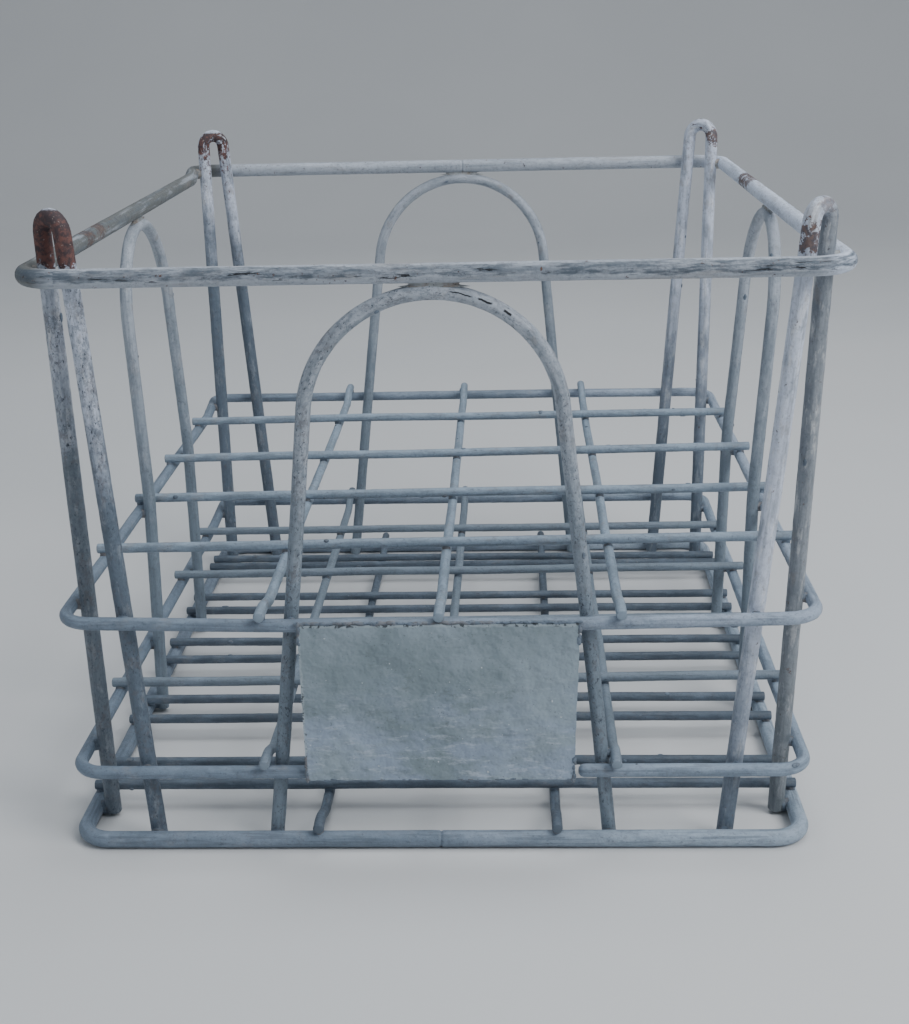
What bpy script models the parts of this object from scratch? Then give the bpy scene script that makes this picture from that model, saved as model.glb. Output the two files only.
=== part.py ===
"""Welded wire crate for milk bottles: twenty cells, four rows wide and five rows deep.

Four wire rings carry the crate: the rim, the middle ring, the lower ring and the base ring.
Corner hairpins and arches stand inside the rings, and straight divider wires lie across them.
Metres, +Z up, the front faces -Y. The origin is at the middle of the outline, on the floor.
"""
import math

import bmesh
import bpy
from mathutils import Vector

MM = 0.001
GAP = 0.3                 # clearance between two pieces that are welded together

# Rings: wire radius, half width, half depth and corner radius on the centre line, height,
# and how far the back left corner has been pushed outwards
RIM = dict(r=4.2, half_w=167.7, half_d=204.7, corner=17.0, z=264.0, pushed=6.4)
MIDDLE = dict(r=3.0, half_w=165.4, half_d=199.4, corner=14.0, z=112.0, pushed=3.6)
LOWER = dict(r=3.1, half_w=164.9, half_d=197.5, corner=13.0, z=38.4, pushed=1.6)
BASE = dict(r=4.0, half_w=165.6, half_d=197.5, corner=14.0, z=4.0, pushed=0.0)
MIDDLE_SAG = 2.0          # the middle ring's front run hangs a little at its centre
PUSHED_LENGTH = 50.0      # the push starts this far from the corner

RIM_SHIFT = 3.22          # brings the outline's middle to the origin
LEAN = 3.6                # the crate has racked sideways by this much between base and rim
LEG_FOOT = 1.8            # the legs stop just above the floor

HAIRPIN_R = 3.9
HAIRPIN_BEND_Z = 280.4    # where the legs run into the bend
HAIRPIN_PUSH = 5.0        # the back left hairpin has gone out with its corner
HAIRPIN_FOOT_IN = (35.1, 30.0)   # legs' distance from the ring corner at the foot, along X and Y
# The same at the rim, for each corner: side along X, side along Y, then the two distances
HAIRPINS = {
    "hairpin_front_left": (-1, -1, 20.0, 17.6),
    "hairpin_front_right": (1, -1, 17.9, 17.6),
    "hairpin_back_left": (-1, 1, 20.3, 17.6),
    "hairpin_back_right": (1, 1, 22.0, 17.6),
}

ARCH_R = 3.3
ARCH_KNEE_Z = 120.0       # above the middle ring the legs bend outwards, to meet under the rim
ARCH_KNEE_SPAN = 4.0      # the bend takes this much height on each side
ARCH_CROWN_IN = 0.4       # the crown stands this far inside the rim's centre line
END_ARCH = dict(radius=54.0, splay=6.0)    # front and back
STRAIGHT = (0.0, 0.0)
FRONT_ARCH_BOW = (1.7, 2.5)    # its right leg is bent out this far, at the knee and at the foot
SIDE_ARCH = dict(radius=48.0, splay=2.2, centre=1.2, tilt=7.5)    # left and right

DIVIDER_R = 2.5
UPPER_CROSS_Y = (-113.9, -35.2, 40.5, 121.6)
UPPER_CROSS_SKEW = (4.5, 4.3, 5.5, 3.2)      # how far the right-hand end lies further back
LOWER_CROSS_Y = (-111.6, -36.0, 42.0, 118.7)
LOWER_CROSS_SKEW = (1.5, 2.0, 3.5, 1.5)
CROSS_END = (168.3, 170.6)                   # left and right ends, a little past the rings
UPPER_LONG_X = (-75.2, 2.3, 81.0)
LOWER_LONG_X = (-77.5, 1.3, 79.7)
LONG_BACK = 202.0
LONG_STEP_IN = 9.0                           # long wires step down this far inside the ring
UPPER_LONG_FRONT = (205.0, 205.0, 205.0)
LOWER_LONG_FRONT = (203.0, 200.4, 203.5)     # the middle one butts against the plate
FLOOR_PAIR_Y = ((-158.3, -135.0), (-86.5, -63.2), (-10.1, 14.3), (63.8, 86.1), (141.8, 155.6))
FLOOR_CROSS_END = 168.0
FLOOR_LONG_X = (-55.0, 53.5)
FLOOR_LONG_END = 201.0

PLATE_X = (-59.2, 61.3)
PLATE_SLANT = 2.3         # its right edge leans out by this much towards the top
PLATE_THICK = 1.0
PLATE_TOP = 112.3
PLATE_BOTTOM = 36.2
PLATE_FLAT = 5.0          # height of the sheet that lies flat against each ring
LOWER_TUCK = 8.0          # the lower ring's left end goes this far behind the plate
LOWER_END_GAP = 1.6       # its right end stops this far beside the plate

WIRE_SIDES = 12
HAIRPIN_SIDES = 16
DOME_REACH = 0.8          # a rounded end stands out by this share of the wire's radius

CREAM = (0.56, 0.58, 0.54)
PALE = (0.50, 0.53, 0.51)
BLUISH = (0.40, 0.45, 0.48)
DULL = (0.34, 0.39, 0.42)


def clear_scene():
    for obj in list(bpy.data.objects):
        bpy.data.objects.remove(obj, do_unlink=True)


def paint(name, colour, roughness, metallic):
    material = bpy.data.materials.new(name)
    material.use_nodes = True
    shader = material.node_tree.nodes["Principled BSDF"]
    shader.inputs["Base Color"].default_value = (*colour, 1.0)
    shader.inputs["Roughness"].default_value = roughness
    shader.inputs["Metallic"].default_value = metallic
    return material


def place(name, bm, colour, roughness=0.55, metallic=0.25):
    """Put the finished mesh in the scene, with its origin at its own middle."""
    bmesh.ops.recalc_face_normals(bm, faces=bm.faces)
    mesh = bpy.data.meshes.new(name)
    bm.to_mesh(mesh)
    bm.free()
    low = Vector(tuple(min(v.co[i] for v in mesh.vertices) for i in range(3)))
    high = Vector(tuple(max(v.co[i] for v in mesh.vertices) for i in range(3)))
    middle = (low + high) / 2
    for vertex in mesh.vertices:
        vertex.co = (vertex.co - middle) * MM
    obj = bpy.data.objects.new(name, mesh)
    obj.location = middle * MM
    bpy.context.collection.objects.link(obj)
    mesh.materials.append(paint(name + "_paint", colour, roughness, metallic))
    mesh.shade_smooth()
    mesh.set_sharp_from_angle(angle=math.radians(40))
    return obj


def mitre_frames(path, closed, flat_towards):
    """Tangent, two cross axes and a mitre stretch for every point of the path."""
    count = len(path)
    frames = []
    for i, point in enumerate(path):
        before = path[i - 1] if (closed or i > 0) else None
        after = path[(i + 1) % count] if (closed or i < count - 1) else None
        arrive = (point - before).normalized() if before is not None else None
        leave = (after - point).normalized() if after is not None else None
        arrive = arrive or leave
        leave = leave or arrive
        tangent = (arrive + leave).normalized()
        side = flat_towards.cross(tangent).normalized()
        up = tangent.cross(side).normalized()
        bend = leave - arrive
        stretch = 1.0 / max(tangent.dot(leave), 0.5)
        frames.append((side, up, bend.normalized() if bend.length > 1e-6 else None, stretch))
    return frames


def wire(path, radius, flat_towards, closed=False, sides=WIRE_SIDES, round_end=False):
    """Sweep a round wire along the path. One flat of its outline faces flat_towards."""
    bm = bmesh.new()
    rings = []
    outer = radius / math.cos(math.pi / sides)
    for point, (side, up, bend, stretch) in zip(path, mitre_frames(path, closed, flat_towards)):
        ring = []
        for k in range(sides):
            angle = 2 * math.pi * (k + 0.5) / sides
            offset = outer * (math.cos(angle) * side + math.sin(angle) * up)
            if bend is not None:
                offset += bend * offset.dot(bend) * (stretch - 1.0)
            ring.append(bm.verts.new(point + offset))
        rings.append(ring)
    spans = zip(rings, rings[1:] + rings[:1]) if closed else zip(rings, rings[1:])
    for one, two in spans:
        for k in range(sides):
            n = (k + 1) % sides
            bm.faces.new((one[k], one[n], two[n], two[k]))
    if not closed:
        bm.faces.new(rings[0][::-1])
        last = bm.faces.new(rings[-1])
        if round_end:
            dome(bm, last, path[-1], (path[-1] - path[-2]).normalized(), radius)
    return bm


def dome(bm, face, centre, outwards, radius):
    """Round off a wire's end face in two steps."""
    for reach, shrink in ((0.45, 0.86), (DOME_REACH, 0.62)):
        result = bmesh.ops.extrude_discrete_faces(bm, faces=[face])
        face = result["faces"][0]
        middle = face.calc_center_median()
        step = centre + outwards * radius * reach
        for vertex in face.verts:
            vertex.co = step + (vertex.co - middle) * shrink


def lean(z):
    return RIM_SHIFT - LEAN * (1.0 - z / RIM["z"])


def arc(centre, across, up, radius, start, end, steps):
    """Points on an arc. Angles are measured from across towards up."""
    points = []
    for i in range(steps + 1):
        angle = start + (end - start) * i / steps
        points.append(centre + radius * (math.cos(angle) * across + math.sin(angle) * up))
    return points


def ring_path(ring, front_sag=0.0):
    """Rounded rectangle, run anticlockwise seen from above, starting on the front run."""
    w, d, c, z = ring["half_w"], ring["half_d"], ring["corner"], ring["z"]
    x0 = lean(z)
    east, north = Vector((1, 0, 0)), Vector((0, 1, 0))
    points = [Vector((x0 + f * (w - c), -d, z - front_sag * (1 - f * f))) for f in (-0.5, 0.0, 0.5)]
    tight = 0.6 * c if ring["pushed"] > 0 else c
    corners = ((w - c, c - d, c, -90), (w - c, d - c, c, 0),
               (tight - w - ring["pushed"], d - tight, tight, 90), (c - w, c - d, c, 180))
    for x, y, bend, turn in corners:
        start = math.radians(turn)
        centre = Vector((x0 + x, y, z))
        points += arc(centre, east, north, bend, start, start + math.pi / 2, 6)
        if turn == 90 and ring["pushed"] > 0:
            points.append(Vector((x0 - w, d - PUSHED_LENGTH, z)))
    return points


def build_ring(name, ring, colour, front_sag=0.0):
    bm = wire(ring_path(ring, front_sag), ring["r"], Vector((0, 0, 1)), closed=True)
    place(name, bm, colour)


def build_lower_ring():
    """Open ring: both ends finish at the plate, the left one tucked in behind it."""
    d, z = LOWER["half_d"], LOWER["z"]
    around = ring_path(LOWER)[3:]
    start = Vector((PLATE_X[1] + LOWER_END_GAP + DOME_REACH * LOWER["r"], -d, z))
    end = Vector((PLATE_X[0] + LOWER_TUCK, -d, z))
    path = [end] + around[::-1] + [start]
    bm = wire(path, LOWER["r"], Vector((0, 0, 1)), round_end=True)
    place("lower_ring", bm, PALE)


def hairpin_leg(ring, along_x, inset):
    """A leg's centre where it stands against a run of this ring, for the +X +Y corner."""
    reach = ring["r"] + GAP + HAIRPIN_R
    if along_x:
        return Vector((ring["half_w"] - inset, ring["half_d"] - reach, ring["z"]))
    return Vector((ring["half_w"] - reach, ring["half_d"] - inset, ring["z"]))


def on_line(a, b, z):
    return a + (b - a) * ((z - a.z) / (b.z - a.z))


def build_hairpin(name, side_x, side_y, top_x, top_y):
    """Narrow inverted U across the corner: one leg on the end run, one on the side run."""
    pushed = HAIRPIN_PUSH if (side_x, side_y) == (-1, 1) else 0.0
    legs = []
    for along_x, foot, top in ((True, HAIRPIN_FOOT_IN[0], top_x), (False, HAIRPIN_FOOT_IN[1], top_y)):
        low = hairpin_leg(BASE, along_x, foot)
        high = hairpin_leg(RIM, along_x, top) + Vector((pushed, 0, 0))
        legs.append((on_line(low, high, LEG_FOOT), on_line(low, high, HAIRPIN_BEND_Z)))
    (foot_a, top_a), (foot_b, top_b) = legs
    centre = (top_a + top_b) / 2
    across = (top_b - top_a).normalized()
    rise = ((top_a - foot_a).normalized() + (top_b - foot_b).normalized()).normalized()
    bend = arc(centre, -across, rise, (top_b - top_a).length / 2, 0.0, math.pi, 10)
    path = [foot_a] + bend + [foot_b]
    path = [Vector((side_x * p.x + lean(p.z), side_y * p.y, p.z)) for p in path]
    outward = Vector((side_x, side_y, 0)).normalized()
    place(name, wire(path, HAIRPIN_R, outward, sides=HAIRPIN_SIDES), CREAM)


def arch_offset(half, z):
    """How far out an arch's wire lies at height z; half names the rings' half size."""
    reach = ARCH_R + GAP
    foot = BASE[half] - BASE["r"] - reach
    knee = MIDDLE[half] - MIDDLE["r"] - reach
    slope = (knee - foot) / (MIDDLE["z"] - BASE["z"])
    if z <= ARCH_KNEE_Z:
        return foot + slope * (z - BASE["z"])
    knee_out = foot + slope * (ARCH_KNEE_Z - BASE["z"])
    crown = RIM[half] - ARCH_CROWN_IN
    return knee_out + (crown - knee_out) * (z - ARCH_KNEE_Z) / (crown_height() - ARCH_KNEE_Z)


def crown_height():
    return RIM["z"] - RIM["r"] - GAP - ARCH_R


def arch_outline(arch, bow=STRAIGHT):
    """The arch flattened: distance from its middle and height, foot to foot."""
    radius, splay = arch["radius"], math.radians(arch["splay"])
    middle = crown_height() - radius
    points = []
    for i in range(17):
        angle = splay + (math.pi - 2 * splay) * i / 16
        points.append((radius * math.cos(angle), middle + radius * math.sin(angle)))
    across, height = points[0]
    legs = []
    for z in (LEG_FOOT, ARCH_KNEE_Z - ARCH_KNEE_SPAN, ARCH_KNEE_Z + ARCH_KNEE_SPAN):
        legs.append((across + (height - z) * math.tan(splay), z))
    knee, foot = bow
    right = []
    for x, z in legs:
        if z < ARCH_KNEE_Z:
            out = foot + (knee - foot) * (z - LEG_FOOT) / (ARCH_KNEE_Z - LEG_FOOT)
        else:
            out = knee * (height - z) / (height - ARCH_KNEE_Z)
        right.append((x + out, z))
    return right + points + [(-x, z) for x, z in reversed(legs)]


def build_end_arch(name, side_y, bow=STRAIGHT):
    path = []
    for across, z in arch_outline(END_ARCH, bow):
        path.append(Vector((across + lean(z), side_y * arch_offset("half_d", z), z)))
    place(name, wire(path, ARCH_R, Vector((0, side_y, 0))), CREAM)


def build_side_arch(name, side_x):
    path = []
    for across, z in arch_outline(SIDE_ARCH):
        y = SIDE_ARCH["centre"] + SIDE_ARCH["tilt"] * z / RIM["z"] + across
        path.append(Vector((side_x * arch_offset("half_w", z) + lean(z), y, z)))
    place(name, wire(path, ARCH_R, Vector((side_x, 0, 0))), PALE)


def resting_height(ring):
    """Centre height of a divider wire that lies on top of this ring."""
    return ring["z"] + ring["r"] + GAP + DIVIDER_R


def build_cross_wires(prefix, ring, rows, skews, colour):
    z = resting_height(ring)
    x0 = lean(z)
    for number, (y, skew) in enumerate(zip(rows, skews), start=1):
        left = Vector((x0 - CROSS_END[0], y - skew, z))
        right = Vector((x0 + CROSS_END[1], y + skew, z))
        bm = wire([left, right], DIVIDER_R, Vector((0, 0, 1)))
        place("%s_cross_%d" % (prefix, number), bm, colour)


def long_path(ring, x, front_y, front_z, back_y):
    """A long wire runs below the cross wires and steps up onto the ring at both ends."""
    top = resting_height(ring)
    low = top - 2 * DIVIDER_R - GAP
    step = ring["half_d"] - LONG_STEP_IN
    stations = ((-front_y, front_z), (-step, front_z), (2.0 - step, front_z - 0.8), (12.0 - step, low + 0.8),
                (14.0 - step, low), (step - 14.0, low), (step - 12.0, low + 0.8), (step - 2.0, top - 0.8),
                (step, top), (back_y, top))
    return [Vector((x, y, z)) for y, z in stations]


def build_long_wires(prefix, ring, columns, fronts, rises, colour):
    for number, (x, front, rise) in enumerate(zip(columns, fronts, rises), start=1):
        path = long_path(ring, x, front, resting_height(ring) + rise, LONG_BACK)
        bm = wire(path, DIVIDER_R, Vector((0, 0, 1)))
        place("%s_long_%d" % (prefix, number), bm, colour)


def sag_at(x):
    reach = MIDDLE["half_w"] - MIDDLE["corner"]
    return MIDDLE_SAG * (1 - ((x - lean(MIDDLE["z"])) / reach) ** 2)


def build_floor():
    z = resting_height(BASE)
    x0 = lean(z)
    number = 1
    for pair in FLOOR_PAIR_Y:
        for y in pair:
            path = [Vector((x0 - FLOOR_CROSS_END, y, z)), Vector((x0 + FLOOR_CROSS_END, y, z))]
            place("floor_cross_%02d" % number, wire(path, DIVIDER_R, Vector((0, 0, 1))), BLUISH)
            number += 1
    for number, x in enumerate(FLOOR_LONG_X, start=1):
        path = long_path(BASE, x, FLOOR_LONG_END, z, FLOOR_LONG_END)
        bm = wire(path, DIVIDER_R, Vector((0, 0, 1)))
        place("floor_long_%d" % number, bm, BLUISH)


def plate_outline():
    """Side view of the plate's middle surface: flat against the middle ring, then the lower one."""
    off = GAP + PLATE_THICK / 2
    top_y = -MIDDLE["half_d"] - MIDDLE["r"] - off
    foot_y = -LOWER["half_d"] - LOWER["r"] - off
    return ((top_y, PLATE_TOP), (top_y, PLATE_TOP - PLATE_FLAT),
            (foot_y, PLATE_BOTTOM + 2 * PLATE_FLAT), (foot_y, PLATE_BOTTOM))


def build_plate():
    """Blank sheet-metal plate on the front of the middle and the lower ring."""
    outline = plate_outline()
    normals = []
    for i in range(len(outline)):
        before = Vector(outline[max(i - 1, 0)])
        after = Vector(outline[min(i + 1, len(outline) - 1)])
        run = (after - before).normalized()
        normals.append(Vector((run.y, -run.x)))
    half = PLATE_THICK / 2
    front = [Vector(p) + n * half for p, n in zip(outline, normals)]
    back = [Vector(p) - n * half for p, n in zip(outline, normals)]
    profile = front + back[::-1]
    bm = bmesh.new()
    left = [bm.verts.new((PLATE_X[0], p.x, p.y)) for p in profile]
    right = []
    for p in profile:
        share = (p.y - PLATE_BOTTOM) / (PLATE_TOP - PLATE_BOTTOM)
        right.append(bm.verts.new((PLATE_X[1] + PLATE_SLANT * share, p.x, p.y)))
    count, last = len(profile), len(profile) - 1
    for i in range(count):
        n = (i + 1) % count
        bm.faces.new((left[i], left[n], right[n], right[i]))
    for side in (left, right):
        for i in range(len(outline) - 1):
            bm.faces.new((side[i], side[i + 1], side[last - i - 1], side[last - i]))
    place("name_plate", bm, DULL, roughness=0.6, metallic=0.35)


def main():
    clear_scene()
    build_ring("rim_ring", RIM, CREAM)
    build_ring("middle_ring", MIDDLE, PALE, MIDDLE_SAG)
    build_lower_ring()
    build_ring("base_ring", BASE, PALE)
    for name, (side_x, side_y, top_x, top_y) in HAIRPINS.items():
        build_hairpin(name, side_x, side_y, top_x, top_y)
    build_end_arch("arch_front", -1, FRONT_ARCH_BOW)
    build_end_arch("arch_back", 1)
    build_side_arch("arch_left", -1)
    build_side_arch("arch_right", 1)
    build_cross_wires("upper", MIDDLE, UPPER_CROSS_Y, UPPER_CROSS_SKEW, PALE)
    upper_rise = [-sag_at(x) for x in UPPER_LONG_X]
    build_long_wires("upper", MIDDLE, UPPER_LONG_X, UPPER_LONG_FRONT, upper_rise, PALE)
    build_cross_wires("lower", LOWER, LOWER_CROSS_Y, LOWER_CROSS_SKEW, BLUISH)
    build_long_wires("lower", LOWER, LOWER_LONG_X, LOWER_LONG_FRONT, (0.0, 0.0, 0.0), BLUISH)
    build_floor()
    build_plate()


main()
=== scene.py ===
"""Looks of the welded wire milk bottle crate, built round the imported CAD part.

Every CAD wire is replaced by a finer one with uneven paint, cut ends and a worn finish, and
the junctions get their beads of weld metal. Lengths are in millimetres until a mesh is made.
"""
import math
import random

import bmesh
import bpy
from mathutils import Euler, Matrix, Vector, kdtree, noise


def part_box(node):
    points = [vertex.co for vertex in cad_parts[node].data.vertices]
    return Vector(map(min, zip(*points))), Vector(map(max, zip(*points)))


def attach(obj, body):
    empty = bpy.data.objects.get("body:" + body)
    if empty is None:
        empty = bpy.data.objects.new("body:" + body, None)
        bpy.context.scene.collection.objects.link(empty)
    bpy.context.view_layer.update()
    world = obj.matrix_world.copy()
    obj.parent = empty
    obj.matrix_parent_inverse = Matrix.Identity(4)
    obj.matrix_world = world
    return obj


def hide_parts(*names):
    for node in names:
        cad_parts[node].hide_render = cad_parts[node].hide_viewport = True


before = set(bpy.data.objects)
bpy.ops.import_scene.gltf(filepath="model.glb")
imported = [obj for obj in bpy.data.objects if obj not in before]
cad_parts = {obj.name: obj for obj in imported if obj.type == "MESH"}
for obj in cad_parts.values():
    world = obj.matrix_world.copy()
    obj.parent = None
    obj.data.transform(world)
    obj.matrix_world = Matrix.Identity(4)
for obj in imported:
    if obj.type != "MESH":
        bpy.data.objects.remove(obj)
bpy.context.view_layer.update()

MM = 0.001
GAP = 0.3                 # the CAD part's clearance between welded pieces

# Camera
CAMERA_PLACE = (0.03586, -0.81141, 0.36679)
CAMERA_TURN = (71.485, 1.314, 1.95)
CAMERA_LENS = 60.59
SENSOR_WIDTH = 36.0

# Rings: corner radius, and how far the back left corner is pushed out
RING_CORNER = {"rim_ring": 17.0, "middle_ring": 14.0, "lower_ring": 13.0, "base_ring": 14.0}
RING_PUSHED = {"rim_ring": 6.4, "middle_ring": 3.6, "lower_ring": 1.6, "base_ring": 0.0}
MIDDLE_SAG = 2.0
PUSHED_LENGTH = 50.0
TIGHT = 0.6

LEG_FOOT = 1.8
HAIRPIN_R = 3.9
HAIRPIN_BEND_Z = 280.4
HAIRPIN_PUSH = 5.0
HAIRPIN_FOOT_IN = (35.1, 30.0)
# Side along X, side along Y, the legs' distances from the corner at the rim, the height where
# rust starts and how strong it is, the heights over which the darker painted shade low down
# turns to pale paint, and specks
HAIRPINS = {
    "hairpin_front_left": (-1, -1, 20.0, 17.6, 268.0, 1.0, (0.165, 0.240), 1.0),
    "hairpin_front_right": (1, -1, 17.9, 17.6, 284.0, 0.15, (-0.01, 0.16), 0.35),
    "hairpin_back_left": (-1, 1, 20.3, 17.6, 275.0, 0.80, (0.18, 0.275), 0.60),
    "hairpin_back_right": (1, 1, 22.0, 17.6, 279.0, 0.30, (0.05, 0.24), 0.40),
}
SIDE_LEG_DULL = {"hairpin_front_left": 0.35, "hairpin_front_right": 0.80}
HAIRPIN_STAINS = {
    "hairpin_front_right": (((0.153, -0.1995, 0.274), 0.008, 0.90), ((0.160, -0.195, 0.286), 0.006, 0.5)),
    "hairpin_back_right": (((0.1655, 0.187, 0.281), 0.008, 0.9),),
    "hairpin_back_left": (((-0.155, 0.200, 0.270), 0.006, 0.8),),
}

ARCH_R = 3.3
ARCH_KNEE_Z = 120.0
CROWN_IN = 0.4
END_ARCH = {"radius": 54.0, "splay": 6.0, "centre": 0.0, "tilt": 0.0}
STRAIGHT = (0.0, 0.0)
FRONT_ARCH_BOW = (1.7, 2.5)    # its right leg is bent out this far, at the knee and at the foot
SIDE_ARCH = {"radius": 48.0, "splay": 2.2, "centre": 1.2, "tilt": 7.5}

# dashes of cracked paint on the front arch: distance from the crown, length, width
CROWN_DASHES = ((-0.0125, 0.0105, 0.00038), (-0.0225, 0.0070, 0.00062), (-0.0325, 0.0042, 0.00075))

DIVIDER_R = 2.5
PLATE_THICK = 1.0
PLATE_SLANT = 2.3         # its right edge leans out by this much towards the top
PLATE_FLAT = 5.0          # height of the sheet that lies flat against each ring
PLATE_CELL = 1.6          # spacing of the fine plate's vertices
STEP_IN = 9.0             # the long wires step up onto a ring this far inside it

STATION = 2.0             # spacing of the fine wires' cross-sections
THICK_SIDES = 20
THIN_SIDES = 16


def box_mm(node):
    low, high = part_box(node)
    return low / MM, high / MM


def ring_facts(name):
    """Wire radius, half width, half depth, middle and height of a ring's centre line."""
    low, high = box_mm(name)
    sag = MIDDLE_SAG if name == "middle_ring" else 0.0
    radius = (high.z - low.z - sag) / 2
    half_w = (high.x - low.x - RING_PUSHED[name]) / 2 - radius
    return {"name": name, "r": radius, "half_w": half_w, "half_d": (high.y - low.y) / 2 - radius,
            "x0": high.x - radius - half_w, "z": high.z - radius,
            "corner": RING_CORNER[name], "pushed": RING_PUSHED[name]}


RIM, MIDDLE, LOWER, BASE = [ring_facts(n) for n in ("rim_ring", "middle_ring", "lower_ring", "base_ring")]
PLATE_LOW, PLATE_HIGH = box_mm("name_plate")


def lean(z):
    """The crate has racked sideways: the middle's X at height z."""
    share = (z - BASE["z"]) / (RIM["z"] - BASE["z"])
    return BASE["x0"] + (RIM["x0"] - BASE["x0"]) * share


# ---------------------------------------------------------------- centre lines

def arc(centre, across, up, radius, start, end, steps):
    points = []
    for i in range(steps + 1):
        angle = start + (end - start) * i / steps
        points.append(centre + radius * (math.cos(angle) * across + math.sin(angle) * up))
    return points


def ring_line(ring, sag=0.0):
    """Rounded rectangle, anticlockwise from above, starting on the front run."""
    w, d, c, z, x0 = (ring[k] for k in ("half_w", "half_d", "corner", "z", "x0"))
    east, north = Vector((1, 0, 0)), Vector((0, 1, 0))
    points = []
    for i in range(13):
        f = i / 6 - 1
        points.append(Vector((x0 + f * (w - c), -d, z - sag * (1 - f * f))))
    tight = TIGHT * c if ring["pushed"] > 0 else c
    corners = ((w - c, c - d, c, -90), (w - c, d - c, c, 0),
               (tight - w - ring["pushed"], d - tight, tight, 90), (c - w, c - d, c, 180))
    for x, y, bend, turn in corners:
        start = math.radians(turn)
        turned = arc(Vector((x0 + x, y, z)), east, north, bend, start, start + math.pi / 2, 20)
        points += turned[1:-1] if turn == 180 or turn == -90 else turned
        if turn == 90 and ring["pushed"] > 0:
            points.append(Vector((x0 - w, d - PUSHED_LENGTH, z)))
    return points


def lower_ring_line():
    """The open ring's two ends stand at the plate, the left one behind it."""
    around = ring_line(LOWER)[13:]
    start = Vector((PLATE_HIGH.x - PLATE_SLANT + 1.6, -LOWER["half_d"], LOWER["z"]))
    end = Vector((PLATE_LOW.x + 8.0, -LOWER["half_d"], LOWER["z"]))
    return [end] + around[::-1] + [start]


def on_line(a, b, z):
    return a + (b - a) * ((z - a.z) / (b.z - a.z))


def hairpin_leg(ring, along_x, inset):
    reach = ring["r"] + GAP + HAIRPIN_R
    if along_x:
        return Vector((ring["half_w"] - inset, ring["half_d"] - reach, ring["z"]))
    return Vector((ring["half_w"] - reach, ring["half_d"] - inset, ring["z"]))


def hairpin_line(side_x, side_y, top_x, top_y):
    pushed = HAIRPIN_PUSH if (side_x, side_y) == (-1, 1) else 0.0
    legs = []
    for along_x, foot, top in ((True, HAIRPIN_FOOT_IN[0], top_x), (False, HAIRPIN_FOOT_IN[1], top_y)):
        low = hairpin_leg(BASE, along_x, foot)
        high = hairpin_leg(RIM, along_x, top) + Vector((pushed, 0, 0))
        legs.append((on_line(low, high, LEG_FOOT), on_line(low, high, HAIRPIN_BEND_Z)))
    (foot_a, top_a), (foot_b, top_b) = legs
    across = (top_b - top_a).normalized()
    rise = ((top_a - foot_a).normalized() + (top_b - foot_b).normalized()).normalized()
    bend = arc((top_a + top_b) / 2, -across, rise, (top_b - top_a).length / 2, 0.0, math.pi, 24)
    return [Vector((side_x * p.x + lean(p.z), side_y * p.y, p.z)) for p in [foot_a] + bend + [foot_b]]


def crown_height():
    return RIM["z"] - RIM["r"] - GAP - ARCH_R


def arch_offset(half, z):
    """How far out an arch's wire lies at height z."""
    reach = ARCH_R + GAP
    foot = BASE[half] - BASE["r"] - reach
    slope = (MIDDLE[half] - MIDDLE["r"] - reach - foot) / (MIDDLE["z"] - BASE["z"])
    if z <= ARCH_KNEE_Z:
        return foot + slope * (z - BASE["z"])
    knee = foot + slope * (ARCH_KNEE_Z - BASE["z"])
    crown = RIM[half] - CROWN_IN
    return knee + (crown - knee) * (z - ARCH_KNEE_Z) / (crown_height() - ARCH_KNEE_Z)


def arch_line(arch, side, ends, bow=STRAIGHT):
    """ends is True for the front and back arches, whose plane faces along Y."""
    radius, splay = arch["radius"], math.radians(arch["splay"])
    middle = crown_height() - radius
    flat = []
    for i in range(49):
        angle = splay + (math.pi - 2 * splay) * i / 48
        flat.append((radius * math.cos(angle), middle + radius * math.sin(angle)))
    across, height = flat[0]
    legs = []
    for z in (LEG_FOOT, ARCH_KNEE_Z - 4.0, ARCH_KNEE_Z + 4.0):
        legs.append((across + (height - z) * math.tan(splay), z))
    knee, foot = bow
    right = []
    for x, z in legs:
        if z < ARCH_KNEE_Z:
            out = foot + (knee - foot) * (z - LEG_FOOT) / (ARCH_KNEE_Z - LEG_FOOT)
        else:
            out = knee * (height - z) / (height - ARCH_KNEE_Z)
        right.append((x + out, z))
    line = []
    for across, z in right + flat + [(-x, z) for x, z in reversed(legs)]:
        if ends:
            line.append(Vector((across + lean(z), side * arch_offset("half_d", z), z)))
        else:
            along = arch["centre"] + arch["tilt"] * z / RIM["z"] + across
            line.append(Vector((side * arch_offset("half_w", z) + lean(z), along, z)))
    return line


def cross_line(node):
    """A straight wire across the crate, between the ends of its CAD box."""
    low, high = box_mm(node)
    r = (high.z - low.z) / 2
    return r, [Vector((low.x, low.y + r, low.z + r)), Vector((high.x, high.y - r, low.z + r))]


def long_line(node, ring, front_rise):
    """A wire along the crate: under the cross wires, and up onto the ring at both ends."""
    low, high = box_mm(node)
    r, x = (high.x - low.x) / 2, (high.x + low.x) / 2
    top = ring["z"] + ring["r"] + GAP + r
    under = top - 2 * r - GAP
    step = ring["half_d"] - STEP_IN
    stations = ((low.y, top + front_rise), (-step, top + front_rise), (2.0 - step, top + front_rise - 0.8),
                (12.0 - step, under + 0.8), (14.0 - step, under), (step - 14.0, under),
                (step - 12.0, under + 0.8), (step - 2.0, top - 0.8), (step, top), (high.y, top))
    return r, [Vector((x, y, z)) for y, z in stations]


def sag_at(x):
    reach = MIDDLE["half_w"] - MIDDLE["corner"]
    return MIDDLE_SAG * (1 - ((x - MIDDLE["x0"]) / reach) ** 2)


# ---------------------------------------------------------------- fine wires

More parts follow.
